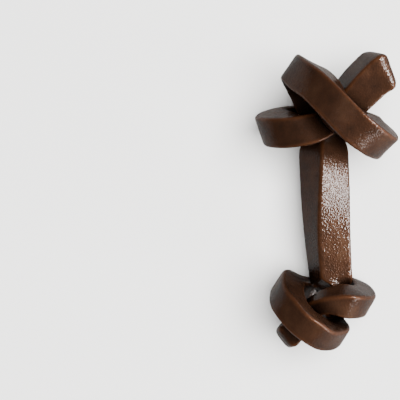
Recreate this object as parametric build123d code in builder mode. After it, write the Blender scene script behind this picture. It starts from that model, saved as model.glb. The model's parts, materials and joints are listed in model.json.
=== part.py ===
"""Knot cufflink: one square strap of metal tied in an overhand knot at each end of a bar.

The strap starts as the stub end of the small knot, runs through that knot, goes straight along
the bar, and is tied again, thicker, in the large knot.  It lies at rest on both knots, with the
bar along X and the large knot at positive X.  Lengths are millimetres, angles are degrees.
"""
import os
from collections import namedtuple
from math import cos, radians, sin

from build123d import *

# Driving dimensions
strap_width = 3.3
small_strap_width = 2.55
strand_gap = 0.15
edge_radius = 0.3
end_rounding = 0.26
stub_length = 4.75
small_stub_length = 3.2
bar_length = 12.6
bar_width = 3.7
bar_small_end_width = 3.45
bar_roll = -52.0
bar_twist = -20.0

# How the small knot is turned on the bar's line, and which face of the strap it has outwards
small_knot_turn = (0.0, 0.0, 180.0)
small_face_turn = 270.0

# From the middle of a knot's lower ring to the bar's end, as a share of the knot's pitch
knot_half_depth = 1.45

# The places on the bar where its width and roll are set, as shares of the way between the knots
bar_small_end = 0.065
bar_large_end = 0.955

# Spacing of the sections as a share of the strap's width, and the steps round a rounded end
section_spacing = 0.22
end_steps = (0, 30, 60, 90)

# How the part rolls down to the way it lies: number of steps, and the length of the first one
# for a corner as far from the middle as the bar is long
rolling_steps = 600
rolling_rate = 0.252

# A station of a knot.  along, side and up say where the middle of the strap is, as shares of
# the pitch of two strands side by side, from the middle of the lower ring: along leads away from
# the bar, up towards the face that shows.  The face columns say which way the strap's outer face
# looks there, and width is the strap's width as a share of its width in that knot.
Station = namedtuple("Station", "name along side up face_along face_side face_up width")

large_table = [
    Station("root", -1.17, 0.01, -0.30, 0.00, 0.62, -0.79, 0.94),
    Station("neck", -0.60, 0.16, -0.32, -0.20, 0.78, -0.60, 0.80),
    Station("rise", -0.10, 0.36, -0.38, -0.22, 0.82, -0.52, 0.79),
    Station("crown", 0.36, 0.54, -0.33, 0.25, 0.85, -0.46, 0.80),
    Station("over", 0.73, 0.71, 0.22, 0.57, 0.82, -0.05, 0.91),
    Station("upper_left", 0.59, 0.54, 0.84, 0.32, 0.82, 0.48, 0.99),
    Station("upper_near", 0.17, 0.16, 1.52, 0.14, 0.50, 0.85, 0.99),
    Station("upper_front", -0.43, -0.25, 1.79, 0.08, 0.05, 0.99, 1.00),
    Station("upper_low", -0.89, -0.84, 1.61, -0.38, -0.22, 0.90, 1.00),
    Station("upper_end", -1.11, -1.40, 0.96, -0.76, -0.54, 0.34, 0.97),
    Station("join", -1.05, -1.44, 0.17, -0.45, -0.82, -0.30, 0.95),
    Station("lower_right", -0.74, -1.09, -0.58, -0.26, -0.75, -0.61, 0.91),
    Station("lower_back", -0.70, -0.20, -1.33, -0.03, -0.40, -0.92, 0.92),
    Station("lower_behind", -0.54, 0.58, -1.40, 0.08, 0.20, -0.97, 0.93),
    Station("lower_turn", -0.60, 1.24, -0.90, -0.12, 0.78, -0.60, 0.93),
    Station("lower_left", -0.76, 1.47, -0.08, -0.33, 0.94, 0.00, 0.94),
    Station("lower_near", -0.89, 1.13, 0.70, -0.25, 0.65, 0.72, 0.94),
    Station("lower_front", -0.88, 0.45, 0.82, 0.05, -0.10, 0.99, 0.90),
    Station("dive", -0.58, -0.10, 0.64, 0.00, -0.23, 0.97, 0.78),
    Station("stub_root", 0.05, -0.72, 0.61, -0.24, -0.28, 0.93, 1.03),
    Station("stub_tip", 0.84, -1.62, 0.53, -0.19, -0.28, 0.94, 1.17),
]

small_table = [
    Station("root", -1.00, 0.28, -0.06, -0.29, 0.72, -0.64, 1.07),
    Station("neck", -0.46, 0.20, -0.21, -0.31, 0.86, -0.41, 0.69),
    Station("rise", -0.06, 0.23, -0.31, -0.20, 0.90, -0.36, 0.71),
    Station("crown", 0.31, 0.35, -0.20, 0.30, 0.88, -0.36, 0.72),
    Station("over", 0.56, 0.43, 0.22, 0.52, 0.84, 0.10, 0.85),
    Station("upper_left", 0.67, 0.10, 0.95, 0.55, 0.55, 0.62, 0.95),
    Station("upper_near", 0.45, -0.47, 1.70, 0.31, -0.04, 0.95, 1.04),
    Station("upper_front", 0.07, -0.97, 1.95, 0.15, -0.30, 0.94, 1.04),
    Station("upper_low", -0.38, -1.34, 1.64, -0.20, -0.65, 0.72, 1.05),
    Station("upper_end", -0.80, -1.44, 0.84, -0.50, -0.85, 0.10, 1.05),
    Station("join", -1.06, -1.28, -0.25, -0.55, -0.65, -0.45, 1.00),
    Station("lower_right", -0.86, -0.68, -1.25, -0.30, -0.50, -0.80, 0.95),
    Station("lower_back", -0.81, 0.24, -1.64, -0.05, -0.15, -0.98, 0.96),
    Station("lower_behind", -0.88, 1.01, -1.38, 0.20, 0.45, -0.86, 0.97),
    Station("lower_turn", -0.62, 1.36, -0.62, 0.40, 0.90, -0.15, 1.00),
    Station("lower_left", -0.50, 1.19, 0.32, 0.48, 0.66, 0.58, 1.00),
    Station("lower_near", -0.56, 0.65, 0.97, 0.48, 0.32, 0.82, 1.04),
    Station("lower_front", -0.56, 0.06, 1.14, 0.48, 0.08, 0.89, 0.82),
    Station("dive", -0.35, -0.42, 0.88, 0.36, -0.18, 0.92, 0.72),
    Station("stub_root", 0.06, -0.80, 0.51, 0.12, -0.12, 0.98, 0.92),
    Station("stub_tip", 0.80, -1.45, 0.30, 0.05, 0.05, 1.00, 1.00),
]

# A station that has been put in its place: the middle of the strap, the way that its outer face
# looks, and its width there.
Placed = namedtuple("Placed", "middle face width")


def knot_middles(table, pitch, stub):
    """The strap's middle at each row of a table, with the stub end brought to its length."""
    middles = [Vector(row.along, row.side, row.up) * pitch for row in table]
    stub_root, stub_tip = middles[-2], middles[-1]
    middles[-1] = stub_root + (stub_tip - stub_root).normalized() * stub
    return middles


def knot_stations(table, width, stub, place, face_turn):
    """A table's rows for a strap of one width, put in place and with the chosen face outwards."""
    middles = knot_middles(table, width + strand_gap, stub)
    placed = []
    for index, row in enumerate(table):
        before = middles[max(index - 1, 0)]
        after = middles[min(index + 1, len(middles) - 1)]
        route = Axis((0, 0, 0), after - before)
        face = Vector(row.face_along, row.face_side, row.face_up).normalized()
        face = face.rotate(route, face_turn)
        middle = (place * Location(middles[index])).position
        tip = (place * Location(middles[index] + face)).position
        placed.append(Placed(middle, tip - middle, row.width * width))
    return placed


def bar_station(part, width, roll):
    """A place on the bar, part of the way from the small knot's root to the large knot's."""
    middle = small_knot[-1].middle * (1 - part) + large_knot[0].middle * part
    return Placed(middle, Vector(0, cos(radians(roll)), sin(radians(roll))), width)


pitch = strap_width + strand_gap
small_pitch = small_strap_width + strand_gap
knot_spacing = bar_length + knot_half_depth * (pitch + small_pitch)
large_place = Location((0, 0, 0))
small_place = Location((-knot_spacing, 0, 0), small_knot_turn)
large_knot = knot_stations(large_table, strap_width, stub_length, large_place, 0)
small_knot = knot_stations(
    small_table, small_strap_width, small_stub_length, small_place, small_face_turn
)
small_knot.reverse()

stations = [
    *small_knot,
    bar_station(bar_small_end, bar_small_end_width, bar_roll + bar_twist),
    bar_station(bar_large_end, bar_width, bar_roll),
    *large_knot,
]

with BuildLine() as route:
    middle_line = Spline(*[station.middle for station in stations])

shares = [middle_line.param_at_point(station.middle) for station in stations]
faces = [station.face for station in stations]
widths = [station.width for station in stations]


def smooth_between(share, values):
    """The value at a share of the route, on a smooth curve through the stations' values."""
    last = len(shares) - 1
    start = max(index for index in range(last) if index == 0 or shares[index] <= share)
    span = shares[start + 1] - shares[start]
    part = (share - shares[start]) / span
    slopes = []
    for index in (start, start + 1):
        low = max(index - 1, 0)
        high = min(index + 1, last)
        slopes.append((values[high] - values[low]) * (span / (shares[high] - shares[low])))
    near, far = values[start], values[start + 1]
    curve = near * (2 * part**3 - 3 * part**2 + 1) + far * (3 * part**2 - 2 * part**3)
    return curve + slopes[0] * (part**3 - 2 * part**2 + part) + slopes[1] * (part**3 - part**2)


def section_plane(share):
    """A plane across the strap, with its x axis towards the outer face."""
    outward = smooth_between(share, faces)
    return Plane(origin=middle_line @ share, x_dir=outward, z_dir=middle_line % share)


# A section of the strap: its share of the route, and the width that is left of the strap there.
Section = namedtuple("Section", "share width")


def rounded_end(width, at_start):
    """Sections that close an end of the strap, from the flat of its end to its full width."""
    radius = end_rounding * width
    sections = []
    for step in end_steps:
        share = radius * (1 - cos(radians(step))) / middle_line.length
        inset = radius * (1 - sin(radians(step)))
        sections.append(Section(share if at_start else 1 - share, width - 2 * inset))
    return sections


def strap_sections():
    """All sections from end to end, closer together where the strap is thinner."""
    first = rounded_end(widths[0], at_start=True)
    last = rounded_end(widths[-1], at_start=False)
    start, stop = first[-1].share, last[-1].share
    steps = [start]
    while steps[-1] < stop:
        width = smooth_between(steps[-1], widths)
        steps.append(steps[-1] + section_spacing * width / middle_line.length)
    scale = (stop - start) / (steps[-1] - start)
    between = [start + (step - start) * scale for step in steps[1:-1]]
    middle = [Section(share, smooth_between(share, widths)) for share in between]
    return first + middle + last[::-1]


sections = strap_sections()


def corner_points():
    """The four corners of every section, as plain coordinates."""
    corners = []
    for section in sections:
        plane = section_plane(section.share)
        half = section.width / 2 - edge_radius * (1 - cos(radians(45)))
        for across in (-half, half):
            for deep in (-half, half):
                corner = plane.origin + plane.x_dir * across + plane.y_dir * deep
                corners.append((corner.X, corner.Y, corner.Z))
    return corners


def rolled_down(corners, centre):
    """Which way is down when the part has rolled from lying face up to where it is lowest."""
    arms = [
        [(point - middle) / bar_length for point, middle in zip(corner, centre)]
        for corner in corners
    ]
    down = [0.0, 0.0, -1.0]
    for step in range(1, rolling_steps):
        lowest = max(arms, key=lambda arm: sum(a * d for a, d in zip(arm, down)))
        down = [d - a * rolling_rate / step for a, d in zip(lowest, down)]
        length = sum(d * d for d in down) ** 0.5
        down = [d / length for d in down]
    return Vector(*down)


with BuildPart() as strap:
    for section in sections:
        with BuildSketch(section_plane(section.share)):
            RectangleRounded(section.width, section.width, edge_radius)
    loft()

centre_of_weight = strap.part.center(CenterOf.MASS)
down = rolled_down(corner_points(), tuple(centre_of_weight))
floor = Plane(origin=centre_of_weight, x_dir=Vector(1, 0, 0), z_dir=-down)
lying = floor.to_local_coords(strap.part)
box = lying.bounding_box()

with BuildPart() as knotted_bar:
    add(lying.moved(Location((-box.center().X, -box.center().Y, -box.min.Z))))

knotted_bar.part.label = "knotted_bar"
os.makedirs("parts", exist_ok=True)
export_step(knotted_bar.part, "parts/knotted_bar.step")
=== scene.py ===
"""Knot cufflink in satin brown-plated brass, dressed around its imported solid.

The link is one piece of metal: a square strap tied in an open knot at each end of a straight
bar.  It lies on a pale table, seen almost from above.  Lengths are metres, in the part's own
frame, unless a name says otherwise.
"""
from __future__ import annotations

import json
import logging
from dataclasses import dataclass, field
from enum import Enum
from math import atan, cos, radians, sin, tan
from typing import Any

import bmesh
import bpy
from mathutils import Matrix, Vector

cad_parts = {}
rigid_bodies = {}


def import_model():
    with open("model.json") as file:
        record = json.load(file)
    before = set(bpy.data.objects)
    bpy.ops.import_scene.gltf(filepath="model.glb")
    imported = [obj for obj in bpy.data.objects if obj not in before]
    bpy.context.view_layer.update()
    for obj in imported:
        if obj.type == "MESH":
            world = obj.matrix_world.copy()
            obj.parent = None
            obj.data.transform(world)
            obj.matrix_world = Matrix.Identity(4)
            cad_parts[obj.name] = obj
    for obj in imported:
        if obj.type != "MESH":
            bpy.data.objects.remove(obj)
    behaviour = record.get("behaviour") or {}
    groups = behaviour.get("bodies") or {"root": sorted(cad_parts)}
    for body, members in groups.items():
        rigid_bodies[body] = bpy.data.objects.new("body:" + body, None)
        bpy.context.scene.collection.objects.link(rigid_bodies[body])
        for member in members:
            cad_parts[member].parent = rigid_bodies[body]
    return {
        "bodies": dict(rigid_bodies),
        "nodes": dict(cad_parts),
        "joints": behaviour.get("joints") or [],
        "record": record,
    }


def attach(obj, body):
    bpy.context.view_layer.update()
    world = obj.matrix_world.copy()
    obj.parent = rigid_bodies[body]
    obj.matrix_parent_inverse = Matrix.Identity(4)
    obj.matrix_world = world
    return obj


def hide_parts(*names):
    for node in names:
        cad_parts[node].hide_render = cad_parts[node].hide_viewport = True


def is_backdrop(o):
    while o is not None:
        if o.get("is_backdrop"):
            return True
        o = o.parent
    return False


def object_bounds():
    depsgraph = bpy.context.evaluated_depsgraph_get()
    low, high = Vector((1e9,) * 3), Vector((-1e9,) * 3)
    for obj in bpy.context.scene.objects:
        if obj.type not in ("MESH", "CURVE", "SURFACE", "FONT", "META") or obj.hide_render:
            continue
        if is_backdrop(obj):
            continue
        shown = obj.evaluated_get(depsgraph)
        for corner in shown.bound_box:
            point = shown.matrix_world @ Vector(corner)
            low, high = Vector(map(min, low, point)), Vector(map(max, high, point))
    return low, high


LOG = logging.getLogger("knot_cufflink")
MM = 0.001

# A Mix node's sockets for colours, by number because its other sockets have the same names
MIX_SHARE, FIRST_COLOUR, SECOND_COLOUR, MIXED_COLOUR = 0, 6, 7, 2


def linear(hex_colour: str) -> tuple[float, float, float, float]:
    """Turn an sRGB hex colour into the linear colour that the shaders take.

    Args:
        hex_colour: six hex digits, with or without a leading hash.

    Returns:
        Red, green, blue and an alpha of one.
    """
    digits = hex_colour.lstrip("#")
    shares = [int(digits[at:at + 2], 16) / 255 for at in (0, 2, 4)]
    red, green, blue = [s / 12.92 if s <= 0.04045 else ((s + 0.055) / 1.055) ** 2.4 for s in shares]
    return red, green, blue, 1.0


def add_node(
    tree: bpy.types.NodeTree, kind: str, settings: dict[str, Any], links: dict[str, Any]
) -> bpy.types.Node:
    """Add one node to a tree, with its settings and what is plugged into it.

    Args:
        tree: the node tree that gets the node.
        kind: the node's Blender type.
        settings: attributes by name, and socket values by the socket's name or number.
        links: output sockets by the name or number of the input that each goes into.

    Returns:
        The new node.
    """
    node = tree.nodes.new(kind)
    for name, value in settings.items():
        if isinstance(name, str) and hasattr(node, name):
            setattr(node, name, value)
        else:
            node.inputs[name].default_value = value
    for name, output in links.items():
        tree.links.new(output, node.inputs[name])
    return node


def set_stops(ramp: bpy.types.ColorRamp, stops: list[tuple[float, str]]) -> None:
    """Give a colour ramp its stops.

    Args:
        ramp: a ramp as Blender makes it, with a stop at each end.
        stops: place on the ramp and sRGB hex colour of each, in rising order.
    """
    for _ in range(len(stops) - len(ramp.elements)):
        ramp.elements.new(1.0)
    for element, (place, colour) in zip(ramp.elements, stops):
        element.position = place
        element.color = linear(colour)


def deselect_all() -> None:
    """Leave edit mode and select nothing."""
    if bpy.context.object and bpy.context.object.mode != "OBJECT":
        bpy.ops.object.mode_set(mode="OBJECT")
    bpy.ops.object.select_all(action="DESELECT")


def select_only(piece: bpy.types.Object) -> None:
    """Make one object the active and only selected one.

    Args:
        piece: the object to select.
    """
    deselect_all()
    piece.select_set(True)
    bpy.context.view_layer.objects.active = piece


@dataclass(frozen=True)
class BrownPlatedBrass:
    """Cast brass under a satin brown plating and a thin clear lacquer.

    Casting leaves a fine pebbled skin, which breaks each reflection into many small glints.  The
    plating is a dull, half metallic brown: nearly black where it mirrors the dark room over it, and
    warm where light falls on it.  Painted shade darkens it in the hollows and where the strap
    crosses itself, and a painted warm highlight lightens it along the edges.  The lacquer gives the
    white glints.

    Sizes of clouds, of the painted shade's reach and of pebbles are lengths on the link.  Real cast
    grain is too fine to show in the picture, so its pebbles are drawn coarser, as coarse as they
    need to be seen.  The painted shade's colour multiplies the plating's, and white leaves it as it
    is.
    """

    name: str = "brown_plated_brass"
    deep_colour: str = "#1e130d"
    plating_colour: str = "#271810"
    bright_colour: str = "#302016"
    deep_until: float = 0.3
    plating_at: float = 0.5
    bright_from: float = 0.75
    cloud_size: float = 2.6 * MM
    cloud_detail: float = 4.0
    cloud_roughness: float = 0.6
    # Painted shade: the plating darkens where the link's own metal closes round a point, in hollows
    # and crossings
    painted_shade_colour: str = "#342e2e"
    unshaded_colour: str = "#ffffff"
    painted_shade_until: float = 0.25
    unshaded_from: float = 0.85
    painted_shade_reach: float = 2.8 * MM
    painted_shade_samples: int = 8
    # Painted highlight: a warm lighter brown along the sharply bending edges
    edge_highlight_colour: str = "#6e4022"
    edge_highlight_mark: str = "painted_edge_highlight"
    metallic: float = 0.30
    roughness_low: float = 0.37
    roughness_high: float = 0.49
    shine: float = 0.0
    edge_tint: str = "#7a5a48"
    lacquer: float = 0.11
    lacquer_roughness: float = 0.13
    pebble_size: float = 0.17 * MM
    pebble_height: float = 0.025 * MM
    pebble_merging: float = 0.6
    pebble_roundness: float = 2.0

    def material(self) -> bpy.types.Material:
        """Make the material.

        Returns:
            The material, with its patterns in object coordinates and its painted edge highlight
            from an attribute.
        """
        material = bpy.data.materials.new(self.name)
        material.use_nodes = True
        tree = material.node_tree
        tree.nodes.clear()
        place = add_node(tree, "ShaderNodeTexCoord", {}, {})
        clouds = add_node(
            tree, "ShaderNodeTexNoise",
            {"Scale": 1 / self.cloud_size, "Detail": self.cloud_detail,
             "Roughness": self.cloud_roughness},
            {"Vector": place.outputs["Object"]},
        )
        colour = self.plating_colours(tree, clouds)
        rough = add_node(
            tree, "ShaderNodeMapRange",
            {"To Min": self.roughness_low, "To Max": self.roughness_high},
            {"Value": clouds.outputs["Fac"]},
        )
        grain = self.cast_grain(tree, place)
        surface = add_node(
            tree, "ShaderNodeBsdfPrincipled",
            {"Metallic": self.metallic, "Specular IOR Level": self.shine,
             "Specular Tint": linear(self.edge_tint), "Coat Weight": self.lacquer,
             "Coat Roughness": self.lacquer_roughness},
            {"Base Color": colour.outputs[MIXED_COLOUR], "Roughness": rough.outputs["Result"],
             "Normal": grain.outputs["Normal"], "Coat Normal": grain.outputs["Normal"]},
        )
        add_node(tree, "ShaderNodeOutputMaterial", {}, {"Surface": surface.outputs["BSDF"]})
        return material

    def plating_colours(self, tree: bpy.types.NodeTree, clouds: bpy.types.Node) -> bpy.types.Node:
        """Colour the plating: cloudy, with painted shade in hollows and a painted edge highlight.

        Args:
            tree: the material's node tree.
            clouds: the noise that the plating's tone drifts with.

        Returns:
            The colour mix that gives the finished colour.
        """
        tone = add_node(tree, "ShaderNodeValToRGB", {}, {"Fac": clouds.outputs["Fac"]})
        set_stops(tone.color_ramp, [
            (self.deep_until, self.deep_colour),
            (self.plating_at, self.plating_colour),
            (self.bright_from, self.bright_colour),
        ])
        # Painted shade: darker where the link's own metal closes round a point
        shade_probe = add_node(
            tree, "ShaderNodeAmbientOcclusion",
            {"samples": self.painted_shade_samples, "only_local": True, "Distance": self.painted_shade_reach}, {},
        )
        painted_shade = add_node(tree, "ShaderNodeValToRGB", {}, {"Fac": shade_probe.outputs["AO"]})
        set_stops(painted_shade.color_ramp, [
            (self.painted_shade_until, self.painted_shade_colour),
            (self.unshaded_from, self.unshaded_colour),
        ])
        tone_and_shade = add_node(
            tree, "ShaderNodeMix", {"data_type": "RGBA", "blend_type": "MULTIPLY", MIX_SHARE: 1.0},
            {FIRST_COLOUR: tone.outputs["Color"], SECOND_COLOUR: painted_shade.outputs["Color"]},
        )
        # Painted highlight: a warm lighter brown along the sharply bending edges
        edge_highlight = add_node(tree, "ShaderNodeAttribute", {"attribute_name": self.edge_highlight_mark}, {})
        return add_node(
            tree, "ShaderNodeMix", {"data_type": "RGBA", SECOND_COLOUR: linear(self.edge_highlight_colour)},
            {MIX_SHARE: edge_highlight.outputs["Fac"], FIRST_COLOUR: tone_and_shade.outputs[MIXED_COLOUR]},
        )

    def cast_grain(self, tree: bpy.types.NodeTree, place: bpy.types.Node) -> bpy.types.Node:
        """Raise the cast skin's pebbles, as rounded domes that run into each other.

        Args:
            tree: the material's node tree.
            place: the texture coordinates.

        Returns:
            The bump node that turns the surface's normals.
        """
        pebbles = add_node(
            tree, "ShaderNodeTexVoronoi",
            {"feature": "SMOOTH_F1", "Scale": 1 / self.pebble_size,
             "Smoothness": self.pebble_merging, "Randomness": 1.0},
            {"Vector": place.outputs["Object"]},
        )
        domes = add_node(
            tree, "ShaderNodeMath", {"operation": "POWER", 1: self.pebble_roundness},
            {0: pebbles.outputs["Distance"]},
        )
        return add_node(
            tree, "ShaderNodeBump", {"Strength": 1.0, "Distance": self.pebble_height},
            {"Height": domes.outputs["Value"]},
        )


@dataclass
class KnottedStrap:
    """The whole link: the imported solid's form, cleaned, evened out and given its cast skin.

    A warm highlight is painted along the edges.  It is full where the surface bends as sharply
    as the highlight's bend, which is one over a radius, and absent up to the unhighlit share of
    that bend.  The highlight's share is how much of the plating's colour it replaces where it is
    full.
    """

    finish: BrownPlatedBrass = field(default_factory=BrownPlatedBrass)
    node: str = "knotted_bar"
    body: str = "root"
    slot: str = "brown_plated_metal"
    name: str = "knotted_strap"
    weld_distance: float = 0.001 * MM
    longest_edge: float = 0.26 * MM
    most_halvings: int = 7
    softening: float = 0.5
    softening_passes: int = 4
    shortest_edge: float = 0.02 * MM
    # Painted highlight along the edges, from how sharply the surface bends
    highlight_bend: float = 1.5 / MM
    unhighlit_until: float = 0.3
    edge_highlight_share: float = 0.13
    edge_highlight_spread: int = 3
    swell_size: float = 1.5 * MM
    swell_height: float = 0.03 * MM
    swell_detail: int = 1

    def copy_solid(self, frame: dict[str, Any]) -> bpy.types.Object:
        """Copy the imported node's mesh into a new object and weld its loose triangles.


        Returns:
            The new object, at the origin like the node itself.
        """
        source = frame["nodes"][self.node]
        piece = bpy.data.objects.new(self.name, source.data.copy())
        bpy.context.scene.collection.objects.link(piece)
        piece.data.name = self.name
        select_only(piece)
        bpy.ops.object.mode_set(mode="EDIT")
        bpy.ops.mesh.select_all(action="SELECT")
        bpy.ops.mesh.remove_doubles(threshold=self.weld_distance)
        bpy.ops.object.mode_set(mode="OBJECT")
        return piece

    def even_out(self, piece: bpy.types.Object) -> None:
        """Cut the long edges in half until none is longer than longest_edge.

        Args:
            piece: the welded copy, which is changed.
        """
        select_only(piece)
        bpy.ops.object.mode_set(mode="EDIT")
        bpy.ops.mesh.select_mode(type="EDGE")
        for _ in range(self.most_halvings):
            mesh = bmesh.from_edit_mesh(piece.data)
            for edge in mesh.edges:
                edge.select_set(edge.calc_length() > self.longest_edge)
            some_long = any(edge.select for edge in mesh.edges)
            bmesh.update_edit_mesh(piece.data)
            if not some_long:
                break
            bpy.ops.mesh.subdivide(number_cuts=1)
            bpy.ops.mesh.select_all(action="SELECT")
            bpy.ops.mesh.quads_convert_to_tris()
        bpy.ops.object.mode_set(mode="OBJECT")

    def soften(self, piece: bpy.types.Object) -> None:
        """Soften the strap's edges, as polishing by hand does, and level the triangles.

        Args:
            piece: the evened out copy, which is changed.
        """
        select_only(piece)
        bpy.ops.object.mode_set(mode="EDIT")
        bpy.ops.mesh.select_all(action="SELECT")
        bpy.ops.mesh.vertices_smooth(factor=self.softening, repeat=self.softening_passes)
        bpy.ops.object.mode_set(mode="OBJECT")

    def bend_at(self, vert: bmesh.types.BMVert) -> float:
        """Measure how sharply the surface bends outwards at a point.

        Args:
            vert: the point, in the softened copy.

        Returns:
            The bend, on average over the point's edges, as one over its radius.  It is nought in a
            hollow, and where every edge is too short to measure along.
        """
        bends = []
        for edge in vert.link_edges:
            if edge.calc_length() > self.shortest_edge:
                other = edge.other_vert(vert)
                spread = (vert.normal - other.normal).dot(vert.co - other.co)
                bends.append(spread / edge.calc_length() ** 2)
        return max(0.0, sum(bends) / len(bends)) if bends else 0.0

    def mark_edge_highlight(self, piece: bpy.types.Object) -> None:
        """Write the painted edge highlight's strength at each point to the finish's attribute.

        Args:
            piece: the softened copy, which gets the attribute.
        """
        mesh = bmesh.new()
        mesh.from_mesh(piece.data)
        mark = mesh.verts.layers.float.new(self.finish.edge_highlight_mark)
        for vert in mesh.verts:
            vert[mark] = min(1.0, self.bend_at(vert) / self.highlight_bend)
        for _ in range(self.edge_highlight_spread):
            evened = [
                (vert[mark] + sum(edge.other_vert(vert)[mark] for edge in vert.link_edges))
                / (1 + len(vert.link_edges))
                for vert in mesh.verts
            ]
            for vert, value in zip(mesh.verts, evened):
                vert[mark] = value
        for vert in mesh.verts:
            past = max(0.0, vert[mark] - self.unhighlit_until)
            vert[mark] = self.edge_highlight_share * past / (1 - self.unhighlit_until)
        mesh.to_mesh(piece.data)
        mesh.free()

    def add_swells(self, piece: bpy.types.Object) -> None:
        """Give the cast faces their low, wide unevenness, as real relief.

        Args:
            piece: the softened copy, which is changed.
        """
        swells = bpy.data.textures.new("cast_swells", "CLOUDS")
        swells.noise_scale = self.swell_size
        swells.noise_depth = self.swell_detail
        select_only(piece)
        relief = piece.modifiers.new("cast_swells", "DISPLACE")
        relief.texture = swells
        relief.texture_coords = "LOCAL"
        relief.strength = self.swell_height
        bpy.ops.object.modifier_apply(modifier=relief.name)
        bpy.data.textures.remove(swells)

    def build(self, frame: dict[str, Any]) -> bpy.types.Object:
        """Make the piece, dress it and put it on its body.


        Returns:
            The finished piece.
        """
        piece = self.copy_solid(frame)
        self.even_out(piece)
        self.soften(piece)
        self.mark_edge_highlight(piece)
        self.add_swells(piece)
        select_only(piece)
        bpy.ops.object.shade_smooth()
        piece.data.materials.clear()
        piece.data.materials.append(self.finish.material())
        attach(piece, self.body)
        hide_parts(self.node)
        return piece


class FallsOn(Enum):
    """The surfaces that show a soft box's light, as a yes or no for matt and for glossy ones."""

    ALL = (True, True)
    MATT = (True, False)
    GLOSSY = (False, True)


@dataclass
class PhotoCamera:
    """The camera of the photograph: far off with a long lens, almost straight over the link.

    Angles are degrees.  middle_pixel is where the middle of the link's box stands in the picture,
    and sees_from and sees_to are shares of the distance to it.
    """

    azimuth: float = -14.7
    elevation: float = 81.9
    roll: float = 0.28
    frame_width: float = 40 * MM
    lens_mm: float = 150.0
    photo_pixels: float = 400.0
    middle_pixel: tuple[float, float] = (325.9, 200.4)
    sees_from: float = 0.05
    sees_to: float = 50.0

    def axes(self) -> Matrix:
        """Work out where the camera's right, up and back point.

        Returns:
            A rotation whose columns are those three directions.
        """
        turn, rise = radians(self.azimuth), radians(self.elevation)
        back = Vector((sin(turn) * cos(rise), -cos(turn) * cos(rise), sin(rise)))
        along_bar = Vector((1, 0, 0))
        up = (along_bar - back * along_bar.dot(back)).normalized()
        up.rotate(Matrix.Rotation(radians(self.roll), 3, back))
        return Matrix((up.cross(back), up, back)).transposed()

    def build(self, middle: Vector) -> None:
        """Add the scene's camera so that the link's middle stands on its pixel.

        Args:
            middle: the middle of the link's box.
        """
        data = bpy.data.cameras.new("photo_camera")
        data.lens = self.lens_mm
        camera = bpy.data.objects.new("photo_camera", data)
        bpy.context.scene.collection.objects.link(camera)
        turned = self.axes()
        right, up, back = turned.col
        metres_per_pixel = self.frame_width / self.photo_pixels
        across = (self.photo_pixels / 2 - self.middle_pixel[0]) * metres_per_pixel
        along = (self.middle_pixel[1] - self.photo_pixels / 2) * metres_per_pixel
        half_angle = atan(data.sensor_width / 2 / data.lens)
        distance = self.frame_width / 2 / tan(half_angle)
        place = middle + right * across + up * along + back * distance
        camera.matrix_world = Matrix.LocRotScale(place, turned.to_quaternion(), None)
        data.clip_start, data.clip_end = distance * self.sees_from, distance * self.sees_to
        bpy.context.scene.camera = camera


@dataclass(frozen=True)
class SoftBox:
    """A rectangular area light that faces the link.

    right, up and back are how far it stands in the picture's own directions, and above how far
    straight up from the table, all as shares of one length.  Sides and distance are metres, and
    power is watts.
    """

    name: str
    side: float
    other_side: float
    distance: float
    power: float
    right: float = 0.0
    up: float = 0.0
    back: float = 0.0
    above: float = 0.0
    falls_on: FallsOn = FallsOn.ALL

    def build(self, middle: Vector, axes: Matrix) -> None:
        """Add the light.

        Args:
            middle: the middle of the link's box.
            axes: the camera's right, up and back, as columns.
        """
        data = bpy.data.lights.new(self.name, "AREA")
        data.shape = "RECTANGLE"
        data.size, data.size_y = self.side, self.other_side
        data.energy = self.power
        light = bpy.data.objects.new(self.name, data)
        bpy.context.scene.collection.objects.link(light)
        right, up, back = axes.col
        way = right * self.right + up * self.up + back * self.back + Vector((0, 0, self.above))
        way.normalize()
        light.location = middle + way * self.distance
        light.rotation_mode = "QUATERNION"
        light.rotation_quaternion = (-way).to_track_quat("-Z", "Y")
        light.visible_diffuse, light.visible_glossy = self.falls_on.value
        light.visible_camera = False


# Lights the table and the plating softly, from nearly straight above
OVERHEAD = SoftBox(
    "overhead", side=1.0, other_side=1.0, distance=1.5, power=98.0, right=0.35, above=1.0,
    falls_on=FallsOn.MATT,
)

# Lies mirrored in the lacquer along the right face of the bar, as its long white glint
RIGHT_STRIP = SoftBox(
    "right_strip", side=0.10, other_side=0.045, distance=0.25, power=3.5, right=0.89, up=0.12,
    back=0.43, falls_on=FallsOn.GLOSSY,
)

# Warms the faces that look to the lower right
LOW_WINDOW = SoftBox(
    "low_window", side=0.14, other_side=0.08, distance=0.25, power=2.6, right=0.86, up=-0.48,
    back=0.12,
)


@dataclass(frozen=True)
class MattPaper:
    """The table's cover: uncoated white paper, which has no glint and spreads light evenly."""

    name: str = "matt_paper"
    colour: str = "#f4f3f1"
    roughness: float = 0.85

    def material(self) -> bpy.types.Material:
        """Make the material.

        Returns:
            The material, which has no pattern.
        """
        material = bpy.data.materials.new(self.name)
        material.use_nodes = True
        tree = material.node_tree
        tree.nodes.clear()
        surface = add_node(
            tree, "ShaderNodeBsdfPrincipled",
            {"Base Color": linear(self.colour), "Roughness": self.roughness}, {},
        )
        add_node(tree, "ShaderNodeOutputMaterial", {}, {"Surface": surface.outputs["BSDF"]})
        return material


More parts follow.
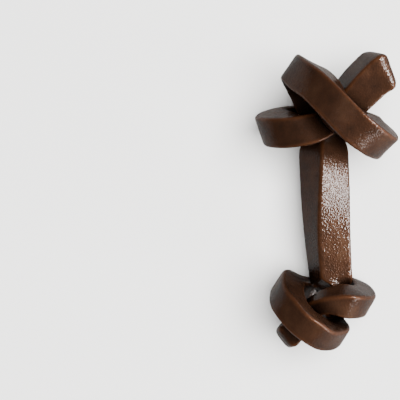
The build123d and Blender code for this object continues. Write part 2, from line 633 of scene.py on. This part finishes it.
@dataclass
class Studio:
    """The pale table, the light tent round it and its soft boxes.

    pale_until and dark_from are heights in the tent, from 0 at the horizon to 1 straight above,
    where the camera looks in: it is pale up to the first and dark from the second on.
    """

    cover: MattPaper = field(default_factory=MattPaper)
    table_size: float = 3.0
    tent_colour: str = "#a9abb0"
    top_colour: str = "#1c1a19"
    pale_until: float = 0.40
    dark_from: float = 0.80
    tent_strength: float = 0.35
    boxes: tuple[SoftBox, ...] = (OVERHEAD, RIGHT_STRIP, LOW_WINDOW)

    def table(self) -> None:
        """Add the table top, with its upper face at height zero."""
        deselect_all()
        bpy.ops.mesh.primitive_plane_add(size=self.table_size)
        table = bpy.context.object
        table.name = "table"
        table.data.materials.append(self.cover.material())
        table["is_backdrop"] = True

    def tent(self) -> None:
        """Light the world: pale near the horizon and dark round the camera's opening above."""
        world = bpy.data.worlds.new("light_tent")
        bpy.context.scene.world = world
        world.use_nodes = True
        tree = world.node_tree
        tree.nodes.clear()
        place = add_node(tree, "ShaderNodeTexCoord", {}, {})
        parts = add_node(tree, "ShaderNodeSeparateXYZ", {}, {0: place.outputs["Generated"]})
        ramp = add_node(tree, "ShaderNodeValToRGB", {}, {"Fac": parts.outputs["Z"]})
        set_stops(ramp.color_ramp, [
            (self.pale_until, self.tent_colour), (self.dark_from, self.top_colour),
        ])
        light = add_node(
            tree, "ShaderNodeBackground", {"Strength": self.tent_strength},
            {"Color": ramp.outputs["Color"]},
        )
        add_node(tree, "ShaderNodeOutputWorld", {}, {"Surface": light.outputs["Background"]})

    def build(self, middle: Vector, camera: PhotoCamera) -> None:
        """Add the table, the tent and the soft boxes.

        Args:
            middle: the middle of the link's box.
            camera: the camera, whose picture says where right, up and back are.
        """
        self.table()
        self.tent()
        for box in self.boxes:
            box.build(middle, camera.axes())


def main() -> None:
    """Load the frame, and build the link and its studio."""
    logging.basicConfig(level=logging.INFO, format="%(name)s: %(message)s")
    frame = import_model()
    cad_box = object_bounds()
    piece = KnottedStrap().build(frame)
    LOG.info("%s: %d faces", piece.name, len(piece.data.polygons))
    middle = (cad_box[0] + cad_box[1]) / 2
    camera = PhotoCamera()
    camera.build(middle)
    Studio().build(middle, camera)


if __name__ == "__main__":
    main()
